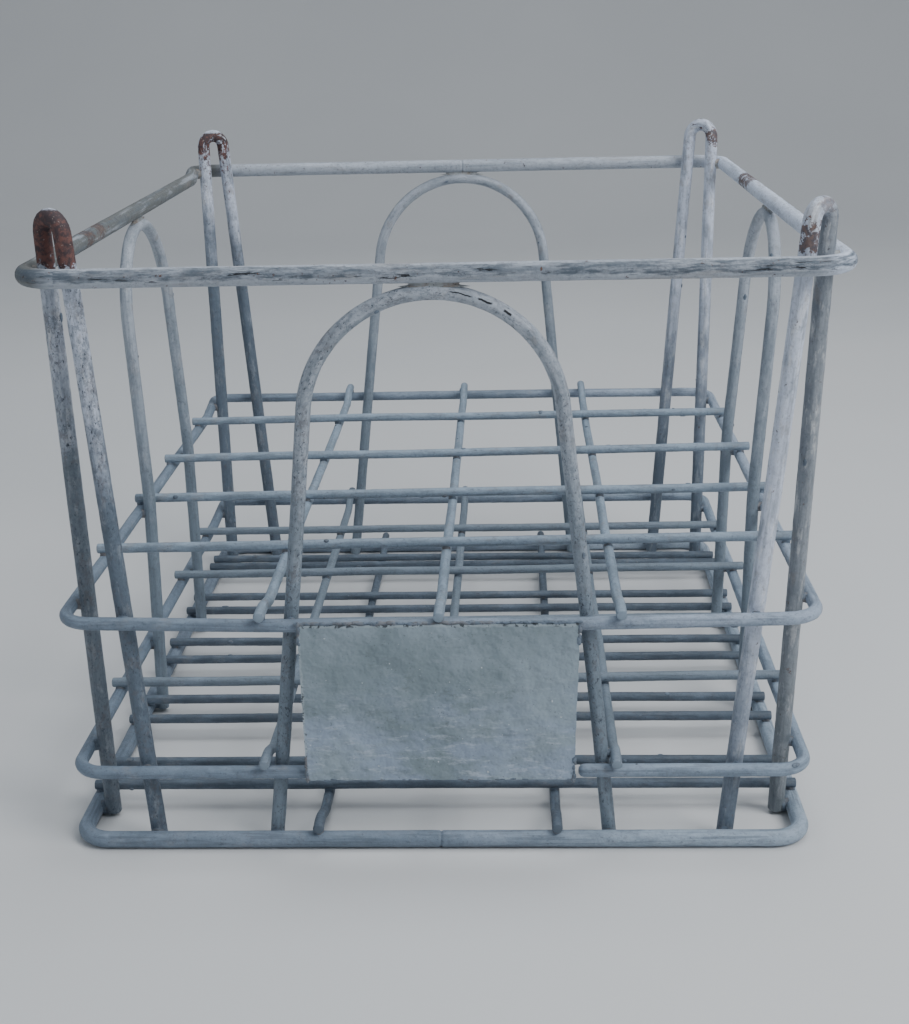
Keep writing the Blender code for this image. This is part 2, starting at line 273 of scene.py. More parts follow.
def resample(points, closed, marks=()):
    """Stations at even spacing, with close ones round each mark (a distance along the line)."""
    line = points + points[:1] if closed else points
    lengths = [0.0]
    for a, b in zip(line, line[1:]):
        lengths.append(lengths[-1] + (b - a).length)
    total = lengths[-1]
    count = max(2, round(total / STATION))
    wanted = [total * i / count for i in range(count + (0 if closed else 1))]
    for mark in marks:
        wanted += [mark + 0.35 * k for k in range(-7, 8)]
    wanted = sorted(wanted)
    kept = [wanted[0]]
    for s in wanted[1:]:
        if s - kept[-1] > 0.15:
            kept.append(s)
    found, i = [], 0
    for s in kept:
        while i < len(lengths) - 2 and lengths[i + 1] < s:
            i += 1
        share = (s - lengths[i]) / max(lengths[i + 1] - lengths[i], 1e-9)
        found.append(line[i].lerp(line[i + 1], share))
    return found, kept, total


def soften(points, passes):
    """Round off the bends of an open line."""
    for _ in range(passes):
        points = [points[0]] + [(points[i - 1] + 2 * points[i] + points[i + 1]) / 4
                                for i in range(1, len(points) - 1)] + [points[-1]]
    return points


def waver(points, amount, seed):
    """Bend a straight wire slightly, as hand-straightened wire is."""
    shift = Vector((seed * 17.3, seed * 5.1, seed * 9.7))
    return [p + amount * noise.noise_vector(p * 0.012 + shift) for p in points]


def rough(point, outwards, seed):
    """Unevenness of thick paint over old galvanising, from -1 to 1."""
    at = point + outwards
    big = noise.noise(at * 0.13 + Vector((seed, 0, 0)))
    small = noise.noise(at * 0.42 + Vector((0, seed, 0)))
    fine = noise.noise(at * 1.0 + Vector((0, 0, seed)))
    return 0.5 * big + 0.32 * small + 0.18 * fine


CUT_END = ((0.0, 0.78), (0.05, 0.92), (0.16, 0.98), (0.32, 1.0))
ROUND_END = ((0.0, 0.3), (0.1, 0.58), (0.35, 0.85), (0.75, 0.98))


def sweep(points, along, total, radius, towards, closed, sides, paint, bulge, seed, marks, end):
    """A closed tube mesh. Its UV map holds the distance along and around the wire, in metres."""
    bm = bmesh.new()
    uv = bm.loops.layers.uv.new("wire")
    count = len(points)
    rows = []
    for i, point in enumerate(points):
        before = points[i - 1] if (closed or i > 0) else point
        after = points[(i + 1) % count] if (closed or i < count - 1) else point
        tangent = (after - before).normalized()
        side = towards.cross(tangent).normalized()
        up = tangent.cross(side).normalized()
        pinch = sum(0.55 * math.exp(-((along[i] - m) / 0.55) ** 2) for m in marks)
        rows.append((point, tangent, side, up, pinch, 1.0, along[i]))
    if not closed:
        rows = ended(rows, radius, end)
    rings = []
    for point, tangent, side, up, pinch, share, s in rows:
        ring = []
        for k in range(sides):
            angle = 2 * math.pi * k / sides
            out = math.cos(angle) * side + math.sin(angle) * up
            uneven = paint * (rough(point, out * radius, seed) - (1.0 - bulge))
            spot = point + out * (radius * share + uneven - pinch)
            spot.z = max(spot.z, 0.0)
            ring.append(bm.verts.new(spot * MM))
        rings.append(ring)
    spans = list(zip(range(count), [*range(1, count), 0])) if closed else [
        (i, i + 1) for i in range(len(rings) - 1)]
    around = 2 * math.pi * radius * MM
    for a, b in spans:
        s_a, s_b = rows[a][6] * MM, (rows[b][6] if b > a else total) * MM
        for k in range(sides):
            n = (k + 1) % sides
            face = bm.faces.new((rings[a][k], rings[a][n], rings[b][n], rings[b][k]))
            v0, v1 = around * k / sides, around * (k + 1) / sides
            for loop, place in zip(face.loops, ((s_a, v0), (s_a, v1), (s_b, v1), (s_b, v0))):
                loop[uv].uv = place
    if not closed:
        bm.faces.new(rings[0][::-1])
        bm.faces.new(rings[-1])
    bmesh.ops.recalc_face_normals(bm, faces=bm.faces)
    return bm


def ended(rows, radius, profile):
    """Add the cross-sections that shape both ends of an open wire."""
    first, last = rows[0], rows[-1]
    reach = profile[-1][0] * radius
    inner = [r for r in rows if first[6] + reach + 0.2 < r[6] < last[6] - reach - 0.2]
    head, tail = [], []
    for back, share in profile:
        head.append((first[0] + first[1] * back * radius, *first[1:5], share, first[6] + back * radius))
        tail.append((last[0] - last[1] * back * radius, *last[1:5], share, last[6] - back * radius))
    return head + inner + tail[::-1]


WIRES = []                # every wire's stations, for finding the junctions


def finish_piece(bm, name, material, replaces=(), smooth_angle=50):
    mesh = bpy.data.meshes.new(name)
    bm.to_mesh(mesh)
    bm.free()
    mesh.materials.append(material)
    mesh.shade_smooth()
    mesh.set_sharp_from_angle(angle=math.radians(smooth_angle))
    obj = bpy.data.objects.new(name, mesh)
    bpy.context.scene.collection.objects.link(obj)
    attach(obj, "root")
    if replaces:
        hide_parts(*replaces)
    return obj


def make_wire(node, line, radius, towards, material, closed=False, paint=0.16, bulge=0.5,
              wave=0.0, marks=(), end=CUT_END, sides=THIN_SIDES, bends=0):
    seed = len(WIRES) + 1
    points, along, total = resample(line, closed, marks)
    if bends:
        points = soften(points, bends)
    if wave:
        points = waver(points, wave, seed)
    WIRES.append((node, radius, points))
    bm = sweep(points, along, total, radius, towards, closed, sides, paint, bulge, seed, marks, end)
    return finish_piece(bm, "wire_" + node, material, (node,))


# ---------------------------------------------------------------- materials

class Nodes:
    """Short calls for building one material's nodes."""

    def __init__(self, name):
        self.material = bpy.data.materials.new(name)
        self.material.use_nodes = True
        self.tree = self.material.node_tree
        self.shader = self.tree.nodes["Principled BSDF"]
        self.place = self.tree.nodes.new("ShaderNodeTexCoord").outputs["Object"]

    def node(self, kind, **settings):
        made = self.tree.nodes.new(kind)
        for key, value in settings.items():
            setattr(made, key, value)
        return made

    def feed(self, socket, value):
        if isinstance(value, bpy.types.NodeSocket):
            self.tree.links.new(value, socket)
        elif isinstance(value, tuple) and len(value) == 3 and socket.type == "RGBA":
            socket.default_value = (*value, 1.0)
        else:
            socket.default_value = value

    def along(self, radius):
        """Distance along and around the wire, and a seamless place on it, in metres."""
        uv = self.node("ShaderNodeUVMap", uv_map="wire")
        split = self.node("ShaderNodeSeparateXYZ")
        self.feed(split.inputs[0], uv.outputs[0])
        s, v = split.outputs["X"], split.outputs["Y"]
        angle = self.math("DIVIDE", v, radius)
        join = self.node("ShaderNodeCombineXYZ")
        self.feed(join.inputs[0], s)
        self.feed(join.inputs[1], self.math("MULTIPLY", self.math("COSINE", angle), radius))
        self.feed(join.inputs[2], self.math("MULTIPLY", self.math("SINE", angle), radius))
        return join.outputs[0], s, v

    def noise(self, scale, detail=3.0, rough=0.55, vector=None, stretch=None):
        vector = self.place if vector is None else vector
        if stretch:
            mapped = self.node("ShaderNodeMapping")
            self.feed(mapped.inputs["Vector"], vector)
            mapped.inputs["Scale"].default_value = stretch
            vector = mapped.outputs[0]
        made = self.node("ShaderNodeTexNoise")
        self.feed(made.inputs["Vector"], vector)
        made.inputs["Scale"].default_value = scale
        made.inputs["Detail"].default_value = detail
        made.inputs["Roughness"].default_value = rough
        return made.outputs["Fac"]

    def band(self, value, low, high, to_low=0.0, to_high=1.0):
        made = self.node("ShaderNodeMapRange", interpolation_type="SMOOTHSTEP")
        for key, number in (("Value", value), ("From Min", low), ("From Max", high),
                            ("To Min", to_low), ("To Max", to_high)):
            self.feed(made.inputs[key], number)
        return made.outputs["Result"]

    def math(self, operation, a, b=0.0, c=0.12):
        made = self.node("ShaderNodeMath", operation=operation)
        for socket, value in zip(made.inputs, (a, b, c)):
            self.feed(socket, value)
        return made.outputs[0]

    def mix(self, share, a, b):
        made = self.node("ShaderNodeMix", data_type="RGBA")
        self.feed(made.inputs[0], share)
        self.feed(made.inputs[6], a)
        self.feed(made.inputs[7], b)
        return made.outputs[2]

    def height(self):
        return self.coordinate("Z")

    def across(self):
        return self.coordinate("X")

    def coordinate(self, axis):
        split = self.node("ShaderNodeSeparateXYZ")
        self.feed(split.inputs[0], self.place)
        return split.outputs[axis]

    def near(self, centre, radius):
        """Flecks near a point in the crate's frame, thinning out to nothing at the radius."""
        made = self.node("ShaderNodeVectorMath", operation="DISTANCE")
        self.feed(made.inputs[0], self.place)
        made.inputs[1].default_value = centre
        share = self.band(made.outputs["Value"], 0.15 * radius, 1.5 * radius, 0.13, -0.14)
        return self.band(self.math("ADD", self.noise(330.0, 5.0, 0.7), share), 0.50, 0.56)

    def bump(self, height, strength, distance, below=None):
        made = self.node("ShaderNodeBump")
        made.inputs["Strength"].default_value = strength
        made.inputs["Distance"].default_value = distance
        self.feed(made.inputs["Height"], height)
        if below is not None:
            self.feed(made.inputs["Normal"], below)
        return made.outputs["Normal"]


RUST_DARK = (0.058, 0.040, 0.044)
RUST_RED = (0.170, 0.078, 0.066)
RUST_STAIN = (0.135, 0.072, 0.050)
BARE = (0.045, 0.058, 0.080)
CRACK = (0.006, 0.008, 0.012)


def worn_paint(name, wire_r, pale, blue, shade_fade=(0.03, 0.22), specks=0.5, streaks=0.3, blue_band=0.0,
               scratches=0.0, rust=None, stains=(), worn_highlight_cap=None, cracks=(), lit_and_shaded_sides=(), dull_leg=None, drawn_out=1.0):
    """Old pale paint over galvanising.

    pale is the paint's colour high up; blue is the darker colour low down, painted shade there,
    and the two blend between the fade heights. specks, streaks and scratches run from 0 to 1. rust
    is the height it starts at and its strength. stains are points with a radius. cap is a height
    above which the rust is left off, a worn bright spot that is also a painted highlight. cracks
    are places along the wire. zones paint light and shade onto the crate's sides: each blends one
    side, beyond an X range, towards a paler colour for painted light or a darker one for painted
    shade. dull_leg is the distance along the wire where it turns dull. drawn_out stretches the
    patches along the wire.
    """
    n = Nodes(name)
    tube, s, v = n.along(wire_r * MM)
    # painted shade: pale paint high up turns to the darker blue colour low down, which stands for the shade low in the
    # crate, between the fade heights with a cloudy edge
    cloud = n.noise(38.0, 4.0, 0.6)
    lift = n.math("ADD", n.height(), n.math("MULTIPLY", n.math("SUBTRACT", cloud, 0.5), 0.16))
    high = n.band(lift, *shade_fade)
    paint = n.mix(high, blue, pale)
    # painted light and shade: each listed side of the crate, beyond an X range, is blended towards a paler colour for
    # painted light or a darker one for painted shade
    for low_x, high_x, strength, colour in lit_and_shaded_sides:
        side = n.band(n.across(), low_x, high_x)
        paint = n.mix(n.math("MULTIPLY", side, strength), paint, colour)
    if dull_leg:
        leg = n.band(s, dull_leg[0] - 0.012, dull_leg[0] + 0.012)
        paint = n.mix(n.math("MULTIPLY", leg, dull_leg[1]), paint, (0.185, 0.205, 0.215))

    # patches where the top coat has thinned, and chalky ones, drawn out along the wire
    thin = n.band(n.noise(1.0, 5.0, 0.65, tube, (55.0 / drawn_out, 190.0, 190.0)), 0.48, 0.64)
    paint = n.mix(n.math("MULTIPLY", thin, 0.40), paint, tuple(0.80 * c for c in blue))
    warm = n.band(n.noise(1.0, 5.0, 0.65, tube, (95.0 / drawn_out, 150.0, 150.0)), 0.55, 0.68)
    paint = n.mix(n.math("MULTIPLY", warm, n.math("MULTIPLY", high, 0.42)), paint, (0.27, 0.245, 0.225))
    chalk = n.band(n.noise(1.0, 5.0, 0.65, tube, (75.0 / drawn_out, 260.0, 260.0)), 0.52, 0.66)
    chalk = n.math("MULTIPLY", chalk, n.math("MULTIPLY_ADD", high, 0.32))
    paint = n.mix(chalk, paint, tuple(min(0.80, 1.35 * c) for c in pale))

    # long streaks along the wire
    if streaks:
        drawn = n.noise(1.0, 4.0, 0.60, tube, (24.0, 520.0, 520.0))
        worn = n.band(drawn, 0.50, 0.62)
        if blue_band:
            outer = n.math("ABSOLUTE", n.math("SUBTRACT", v, blue_band), 0.0)
            wander = n.noise(1.0, 5.0, 0.65, tube, (70.0, 200.0, 200.0))
            wander = n.math("MULTIPLY", n.math("SUBTRACT", wander, 0.5), 0.006)
            face = n.band(n.math("ADD", outer, wander), 0.0024, 0.0034, 1.0, 0.0)
            broken = n.band(n.noise(46.0, 4.0, 0.6), 0.36, 0.56, 0.60, 1.0)
            inside = n.band(n.noise(1.0, 6.0, 0.75, tube, (110.0, 620.0, 620.0)), 0.36, 0.60, 0.25, 1.0)
            worn = n.math("MULTIPLY", n.math("MULTIPLY", inside, face), broken)
        paint = n.mix(n.math("MULTIPLY", worn, streaks), paint, tuple(0.50 * c for c in blue))

    # smudges and small chips down to the dark metal
    if specks:
        where = n.band(n.noise(85.0, 3.0), 0.34, 0.60, 0.45, 1.0)
        mottle = n.noise(1.0, 5.0, 0.75, tube, (330.0, 460.0, 460.0))
        mottle = n.math("MULTIPLY", n.band(mottle, 0.52 - 0.06 * specks, 0.58), where)
        smudge = n.mix(n.band(n.noise(130.0, 3.0), 0.42, 0.60), tuple(0.62 * c for c in blue), (0.110, 0.100, 0.105))
        paint = n.mix(n.math("MULTIPLY", mottle, 0.58 * specks), paint, smudge)
        chips = n.band(n.noise(1.0, 4.0, 0.7, tube, (560.0, 820.0, 820.0)), 0.590 - 0.02 * specks, 0.640)
        chips = n.math("MULTIPLY", chips, where)
        paint = n.mix(n.math("MULTIPLY", chips, specks), paint, BARE)

    if scratches:
        line = n.band(n.noise(1.0, 5.0, 0.7, tube, (80.0, 620.0, 620.0)), 0.570, 0.605)
        deep = n.math("MULTIPLY", line, n.band(n.noise(34.0, 2.0), 0.44, 0.54))
        if blue_band:
            low_face = n.math("ABSOLUTE", n.math("SUBTRACT", v, blue_band + 0.0014), 0.0)
            deep = n.math("MULTIPLY", deep, n.band(low_face, 0.0016, 0.0028, 1.0, 0.0))
        paint = n.mix(n.math("MULTIPLY", deep, scratches), paint, CRACK)
    for at, length, width, angle in cracks:
        bend = n.noise(1.0, 3.0, 0.5, tube, (160.0, 20.0, 20.0))
        bend = n.math("MULTIPLY", n.math("SUBTRACT", bend, 0.5), 0.003)
        off = n.math("ABSOLUTE", n.math("ADD", n.math("SUBTRACT", v, angle), bend), 0.0)
        along = n.math("ABSOLUTE", n.math("SUBTRACT", s, at), 0.0)
        crack = n.math("MULTIPLY", n.band(off, 0.45 * width, width, 1.0, 0.0),
                       n.band(along, length * 0.34, length * 0.5, 1.0, 0.0))
        paint = n.mix(crack, paint, CRACK)

    rusted = None
    for centre, radius, strength in stains:
        mark = n.math("MULTIPLY", n.near(centre, radius), strength)
        tone = n.mix(n.band(n.noise(520.0, 3.0), 0.42, 0.60), RUST_DARK, RUST_STAIN)
        paint = n.mix(mark, paint, tone)
    if rust:
        start, strength = rust
        edge = n.math("MULTIPLY", n.math("SUBTRACT", n.noise(230.0, 4.0, 0.7), 0.5), 0.030)
        rise = n.math("ADD", n.height(), edge)
        rusted = n.band(rise, start - 0.0012, start + 0.0012)
        if strength < 1.0:
            # weak rust covers less of the wire, in patches that are just as dark
            threshold = 0.66 - 0.30 * strength
            patchy = n.band(n.noise(1.0, 5.0, 0.7, tube, (150.0, 260.0, 260.0)), threshold, threshold + 0.05)
            rusted = n.math("MULTIPLY", rusted, patchy)
            # and it trickles down the wire in flecks
            trickle = n.band(n.height(), start - 0.050, start, -0.20, -0.035)
            flecks = n.math("ADD", n.noise(1.0, 4.0, 0.7, tube, (260.0, 420.0, 420.0)), trickle)
            flecks = n.band(flecks, 0.500, 0.545, 0.0, strength)
            rusted = n.math("MAXIMUM", rusted, flecks)
        # above the cap height the rust is left off: a worn bright spot that is also a painted highlight
        if worn_highlight_cap:
            worn_top = n.math("ADD", n.height(), n.math("MULTIPLY", edge, 0.05))
            rusted = n.math("MULTIPLY", rusted, n.band(worn_top, worn_highlight_cap - 0.0006, worn_highlight_cap + 0.0004, 1.0, 0.0))
        top_dark = n.math("MULTIPLY", n.band(n.height(), 0.278, 0.288), 0.10)
        mottled = n.math("SUBTRACT", n.noise(360.0, 5.0, 0.7), top_dark)
        rust_colour = n.mix(n.band(mottled, 0.38, 0.62), RUST_DARK, RUST_RED)
        rust_colour = n.mix(n.band(n.noise(800.0, 2.0), 0.66, 0.71), rust_colour, (0.26, 0.20, 0.18))
        paint = n.mix(rusted, paint, rust_colour)

    n.feed(n.shader.inputs["Base Color"], paint)
    gloss = n.math("ADD", n.math("MULTIPLY", n.noise(160.0, 3.0), 0.34), 0.38)
    if rusted is not None:
        gloss = n.math("ADD", gloss, n.math("MULTIPLY", rusted, 0.20))
    n.feed(n.shader.inputs["Roughness"], gloss)
    n.shader.inputs["Metallic"].default_value = 0.0
    n.shader.inputs["Specular IOR Level"].default_value = 0.38
    lumps = n.bump(n.noise(240.0, 4.0, 0.6), 0.7, 0.0009)
    grit = n.bump(n.noise(900.0, 3.0, 0.6), 0.45, 0.0004, lumps)
    n.feed(n.shader.inputs["Normal"], grit)
    return n.material


def plate_paint(name):
    """Dull sheet metal: greenish grey, paler and bluer low down, scuffed, with chipped edges."""
    n = Nodes(name)
    low = n.band(n.math("ADD", n.height(), n.math("MULTIPLY", n.noise(40.0, 4.0, 0.6), 0.07)), 0.128, 0.082)
    cloud = n.band(n.noise(26.0, 5.0, 0.6), 0.36, 0.64)
    paint = n.mix(cloud, (0.205, 0.258, 0.285), (0.285, 0.350, 0.398))
    blueish = n.math("MULTIPLY", low, n.band(n.noise(34.0, 5.0, 0.65, stretch=(1, 1, 1.8)), 0.40, 0.60))
    paint = n.mix(n.math("MULTIPLY", blueish, 0.60), paint, (0.31, 0.38, 0.51))
    scuffs = n.band(n.noise(1.0, 6.0, 0.72, stretch=(85.0, 85.0, 300.0)), 0.52, 0.66)
    scuffs = n.math("MULTIPLY", scuffs, n.math("ADD", n.math("MULTIPLY", low, 0.55), 0.10))
    paint = n.mix(scuffs, paint, (0.46, 0.52, 0.60))
    grime = n.band(n.noise(1.0, 6.0, 0.7, stretch=(150.0, 150.0, 260.0)), 0.54, 0.70)
    paint = n.mix(n.math("MULTIPLY", grime, 0.42), paint, (0.125, 0.155, 0.155))
    pits = n.band(n.noise(900.0, 2.0, 0.5), 0.66, 0.72)
    paint = n.mix(n.math("MULTIPLY", pits, 0.45), paint, (0.09, 0.11, 0.12))
    spots = n.band(n.noise(560.0, 1.0, 0.5), 0.765, 0.79)
    paint = n.mix(spots, paint, (0.56, 0.60, 0.63))

    # the top and left cut edges get a pale line, partly worn paint and partly painted highlight, and are chipped dark
    ragged = n.math("MULTIPLY", n.math("SUBTRACT", n.noise(190.0, 4.0, 0.65), 0.5), 0.0030)
    top = PLATE_HIGH.z * MM
    edge = n.band(n.math("ADD", n.height(), ragged), top - 0.0019, top - 0.0009)
    side_low = n.band(n.math("ADD", n.across(), ragged), PLATE_LOW.x * MM + 0.0008, PLATE_LOW.x * MM + 0.0018, 1.0, 0.0)
    edge_wear_and_highlight = n.math("MAXIMUM", edge, side_low)
    paint = n.mix(n.math("MULTIPLY", edge_wear_and_highlight, 0.55), paint, (0.40, 0.46, 0.50))
    broken = n.band(n.noise(430.0, 3.0), 0.52, 0.60, 0.0, 0.9)
    paint = n.mix(n.math("MULTIPLY", edge_wear_and_highlight, broken), paint, (0.035, 0.042, 0.052))
    n.feed(n.shader.inputs["Base Color"], paint)
    gloss = n.math("ADD", n.math("MULTIPLY", n.noise(60.0, 4.0), 0.34), 0.30)
    n.feed(n.shader.inputs["Roughness"], gloss)
    n.shader.inputs["Metallic"].default_value = 0.10
    n.shader.inputs["Specular IOR Level"].default_value = 0.4
    dents = n.bump(n.noise(48.0, 4.0, 0.55), 0.9, 0.0060)
    nicks = n.bump(n.noise(1.0, 4.0, 0.6, stretch=(180.0, 180.0, 420.0)), 0.35, 0.0006, dents)
    grit = n.bump(n.noise(700.0, 3.0, 0.6), 0.22, 0.0003, nicks)
    n.feed(n.shader.inputs["Normal"], grit)
    return n.material


def weld_metal(name, colour, brown):
    """Lumpy joint metal under the same paint, browner where water has sat."""
    n = Nodes(name)
    paint = n.mix(n.band(n.noise(220.0, 4.0, 0.6), 0.38, 0.62), tuple(0.68 * c for c in colour), colour)
    paint = n.mix(n.math("MULTIPLY", n.band(n.noise(150.0, 4.0, 0.6), 0.44, 0.62), brown), paint, (0.235, 0.185, 0.145))
    chips = n.band(n.noise(1000.0, 2.0), 0.60, 0.66)
    paint = n.mix(n.math("MULTIPLY", chips, 0.6), paint, BARE)
    n.feed(n.shader.inputs["Base Color"], paint)
    n.feed(n.shader.inputs["Roughness"], n.math("ADD", n.math("MULTIPLY", n.noise(180.0, 3.0), 0.3), 0.45))
    n.shader.inputs["Specular IOR Level"].default_value = 0.38
    n.feed(n.shader.inputs["Normal"], n.bump(n.noise(420.0, 4.0, 0.6), 0.6, 0.0005))
    return n.material


PALE = (0.60, 0.65, 0.76)
WHITE = (0.395, 0.430, 0.485)
CREAM = (0.36, 0.38, 0.39)
STONE = (0.240, 0.295, 0.370)
GREY = (0.150, 0.195, 0.250)
SLATE = (0.112, 0.147, 0.190)
BLUISH = (0.255, 0.325, 0.405)
DUSK = (0.180, 0.228, 0.275)
DEEP = (0.085, 0.112, 0.145)


# ---------------------------------------------------------------- build the wires

UP = Vector((0, 0, 1))


def build_rings():
    rim_band = 2.69 * RIM["r"] * MM
    # the rim's left run gets painted shade and its right run painted light
    rim_paint = worn_paint("rim_paint", RIM["r"], WHITE, GREY, shade_fade=(-0.2, -0.1), specks=0.45, streaks=0.95,
                           blue_band=rim_band, scratches=0.95, drawn_out=4.0,
                           lit_and_shaded_sides=((-0.149, -0.160, 0.92, (0.105, 0.110, 0.102)),
                                  (0.156, 0.166, 0.85, (0.66, 0.73, 0.87))),
                           stains=(((0.1695, 0.087, 0.2670), 0.010, 0.9), ((0.1695, 0.076, 0.2680), 0.011, 0.9),
                                   ((0.1695, 0.064, 0.2670), 0.009, 0.8), ((-0.1640, -0.100, 0.2675), 0.010, 0.8),
                                   ((-0.1640, -0.078, 0.2670), 0.010, 0.7), ((-0.171, -0.192, 0.262), 0.008, 0.6)))
    front = 2 * (RIM["half_w"] - RIM["corner"]) + math.pi / 2 * RIM["corner"]
    back = front + 2 * (RIM["half_d"] - RIM["corner"]) + math.pi / 2 * RIM["corner"] + 150.0
    make_wire("rim_ring", ring_line(RIM), RIM["r"], UP, rim_paint, closed=True, bulge=0.0,
              marks=(back,), sides=THICK_SIDES)
    # painted light on the middle ring's right side and painted shade on its left
    middle_paint = worn_paint("middle_ring_paint", MIDDLE["r"], STONE, GREY, shade_fade=(0.06, 0.16), specks=0.4, streaks=0.4,
                              lit_and_shaded_sides=((0.02, 0.12, 0.60, (0.40, 0.47, 0.58)), (-0.02, -0.12, 0.40, (0.15, 0.20, 0.26))))
    make_wire("middle_ring", ring_line(MIDDLE, MIDDLE_SAG), MIDDLE["r"], UP, middle_paint, closed=True, wave=0.3)
    # painted light on the lower ring's right side and painted shade on its left
    lower_paint = worn_paint("lower_ring_paint", LOWER["r"], STONE, GREY, shade_fade=(0.0, 0.09), specks=0.4, streaks=0.4,
                             lit_and_shaded_sides=((0.02, 0.12, 0.45, (0.34, 0.43, 0.54)), (-0.02, -0.12, 0.45, (0.13, 0.18, 0.24))))
    make_wire("lower_ring", lower_ring_line(), LOWER["r"], UP, lower_paint, end=ROUND_END, wave=0.25)
    # painted light on the base ring's right side
    base_paint = worn_paint("base_ring_paint", BASE["r"], STONE, GREY, shade_fade=(-0.03, 0.06), specks=0.4, streaks=0.45,
                            lit_and_shaded_sides=((0.0, 0.11, 0.75, (0.37, 0.45, 0.54)),))
    make_wire("base_ring", ring_line(BASE), BASE["r"], UP, base_paint, closed=True, bulge=0.0,
              marks=(BASE["half_w"] - BASE["corner"] + 1.0,), sides=THICK_SIDES)


def build_hairpins():
    for name, (side_x, side_y, top_x, top_y, rust_from, strength, shade_fade, specks) in HAIRPINS.items():
        # the left hairpins' bends keep a bright spot on top, free of rust: wear and a painted highlight
        worn_highlight_cap = {-1: 0.2904, 1: 0.2894}[side_y] if side_x < 0 else None
        line = hairpin_line(side_x, side_y, top_x, top_y)
        half = sum((b - a).length for a, b in zip(line, line[1:])) / 2 * MM
        paint = worn_paint(name + "_paint", HAIRPIN_R, PALE, SLATE, shade_fade=shade_fade, specks=specks, streaks=0.25,
                           rust=(rust_from * MM, strength), worn_highlight_cap=worn_highlight_cap, stains=HAIRPIN_STAINS.get(name, ()),
                           dull_leg=(half, SIDE_LEG_DULL[name]) if name in SIDE_LEG_DULL else None)
        make_wire(name, line, HAIRPIN_R,
                  Vector((side_x, side_y, 0)).normalized(), paint, bulge=0.0, sides=THICK_SIDES)


def build_arches():
    for name, arch, side, ends in (("arch_front", END_ARCH, -1, True), ("arch_back", END_ARCH, 1, True),
                                   ("arch_left", SIDE_ARCH, -1, False), ("arch_right", SIDE_ARCH, 1, False)):
        line = arch_line(arch, side, ends, FRONT_ARCH_BOW if name == "arch_front" else STRAIGHT)
        towards = Vector((0, side, 0)) if ends else Vector((side, 0, 0))
        length = sum((b - a).length for a, b in zip(line, line[1:])) * MM
        cracks = ()
        if name == "arch_front":
            # dashes on the front face, right of the crown
            cracks = tuple((length / 2 + off, size, width, 0.0062) for off, size, width in CROWN_DASHES)
        specks = 0.9 if name == "arch_front" else 0.4
        paint = worn_paint(name + "_paint", ARCH_R, WHITE, DUSK, shade_fade=(0.08, 0.27), specks=specks, streaks=0.25,
                           cracks=cracks)
        make_wire(name, line, ARCH_R, towards, paint, wave=0.25)


def build_dividers():
    upper = worn_paint("upper_divider_paint", DIVIDER_R, BLUISH, DUSK, shade_fade=(0.03, 0.15), specks=0.45, streaks=0.3)
    lower = worn_paint("lower_divider_paint", DIVIDER_R, STONE, DUSK, shade_fade=(0.01, 0.16), specks=0.45, streaks=0.35)
    floor = worn_paint("floor_wire_paint", DIVIDER_R, GREY, DEEP, shade_fade=(-0.02, 0.06), specks=0.45, streaks=0.4)
    for prefix, ring, paint in (("upper", MIDDLE, upper), ("lower", LOWER, lower)):
        for number in range(1, 5):
            node = "%s_cross_%d" % (prefix, number)
            r, line = cross_line(node)
            make_wire(node, line, r, UP, paint, wave=0.45)
        for number in range(1, 4):
            node = "%s_long_%d" % (prefix, number)
            low, high = box_mm(node)
            x = (low.x + high.x) / 2
            rise = -sag_at(x) if ring is MIDDLE else 0.0
            r, line = long_line(node, ring, rise)
            make_wire(node, line, r, UP, paint, wave=0.45, bends=3)
    for number in range(1, 11):
        node = "floor_cross_%02d" % number
        r, line = cross_line(node)
        make_wire(node, line, r, UP, floor, wave=0.45)
    for number in (1, 2):
        node = "floor_long_%d" % number
        r, line = long_line(node, BASE, 0.0)
        make_wire(node, line, r, UP, floor, wave=0.45, bends=3)


# ---------------------------------------------------------------- plate

def plate_profile():
    """Side view of the plate's middle surface, top to bottom, as in its CAD box."""
    off = GAP + PLATE_THICK / 2
    top_y = -MIDDLE["half_d"] - MIDDLE["r"] - off
    foot_y = -LOWER["half_d"] - LOWER["r"] - off
    corners = (Vector((0, top_y, PLATE_HIGH.z)), Vector((0, top_y, PLATE_HIGH.z - PLATE_FLAT)),
               Vector((0, foot_y, PLATE_LOW.z + 2 * PLATE_FLAT)), Vector((0, foot_y, PLATE_LOW.z)))
    profile = [corners[0]]
    for one, two in zip(corners, corners[1:]):
        steps = max(2, round((two - one).length / PLATE_CELL))
        profile += [one.lerp(two, i / steps) for i in range(1, steps + 1)]
    return profile


def plate_right(z):
    """X of the plate's right edge at height z."""
    return PLATE_HIGH.x - PLATE_SLANT * (PLATE_HIGH.z - z) / (PLATE_HIGH.z - PLATE_LOW.z)


def plate_dent(x, z, share, height_share):
    """How far the sheet stands forward of flat: hammer marks and shallow buckles."""
    at = Vector((x, 0, z))
    inner = min(1.0, 5.0 * min(share, 1 - share)) * min(1.0, 5.0 * min(height_share, 1 - height_share))
    buckle = 0.60 * noise.noise(at * 0.032) + 0.34 * noise.noise(at * 0.085 + Vector((7, 7, 7)))
    marks = 0.30 * noise.noise(at * 0.20 + Vector((3, 1, 2)))
    return inner * (buckle + marks) + 0.07 * noise.noise(at * 0.8)


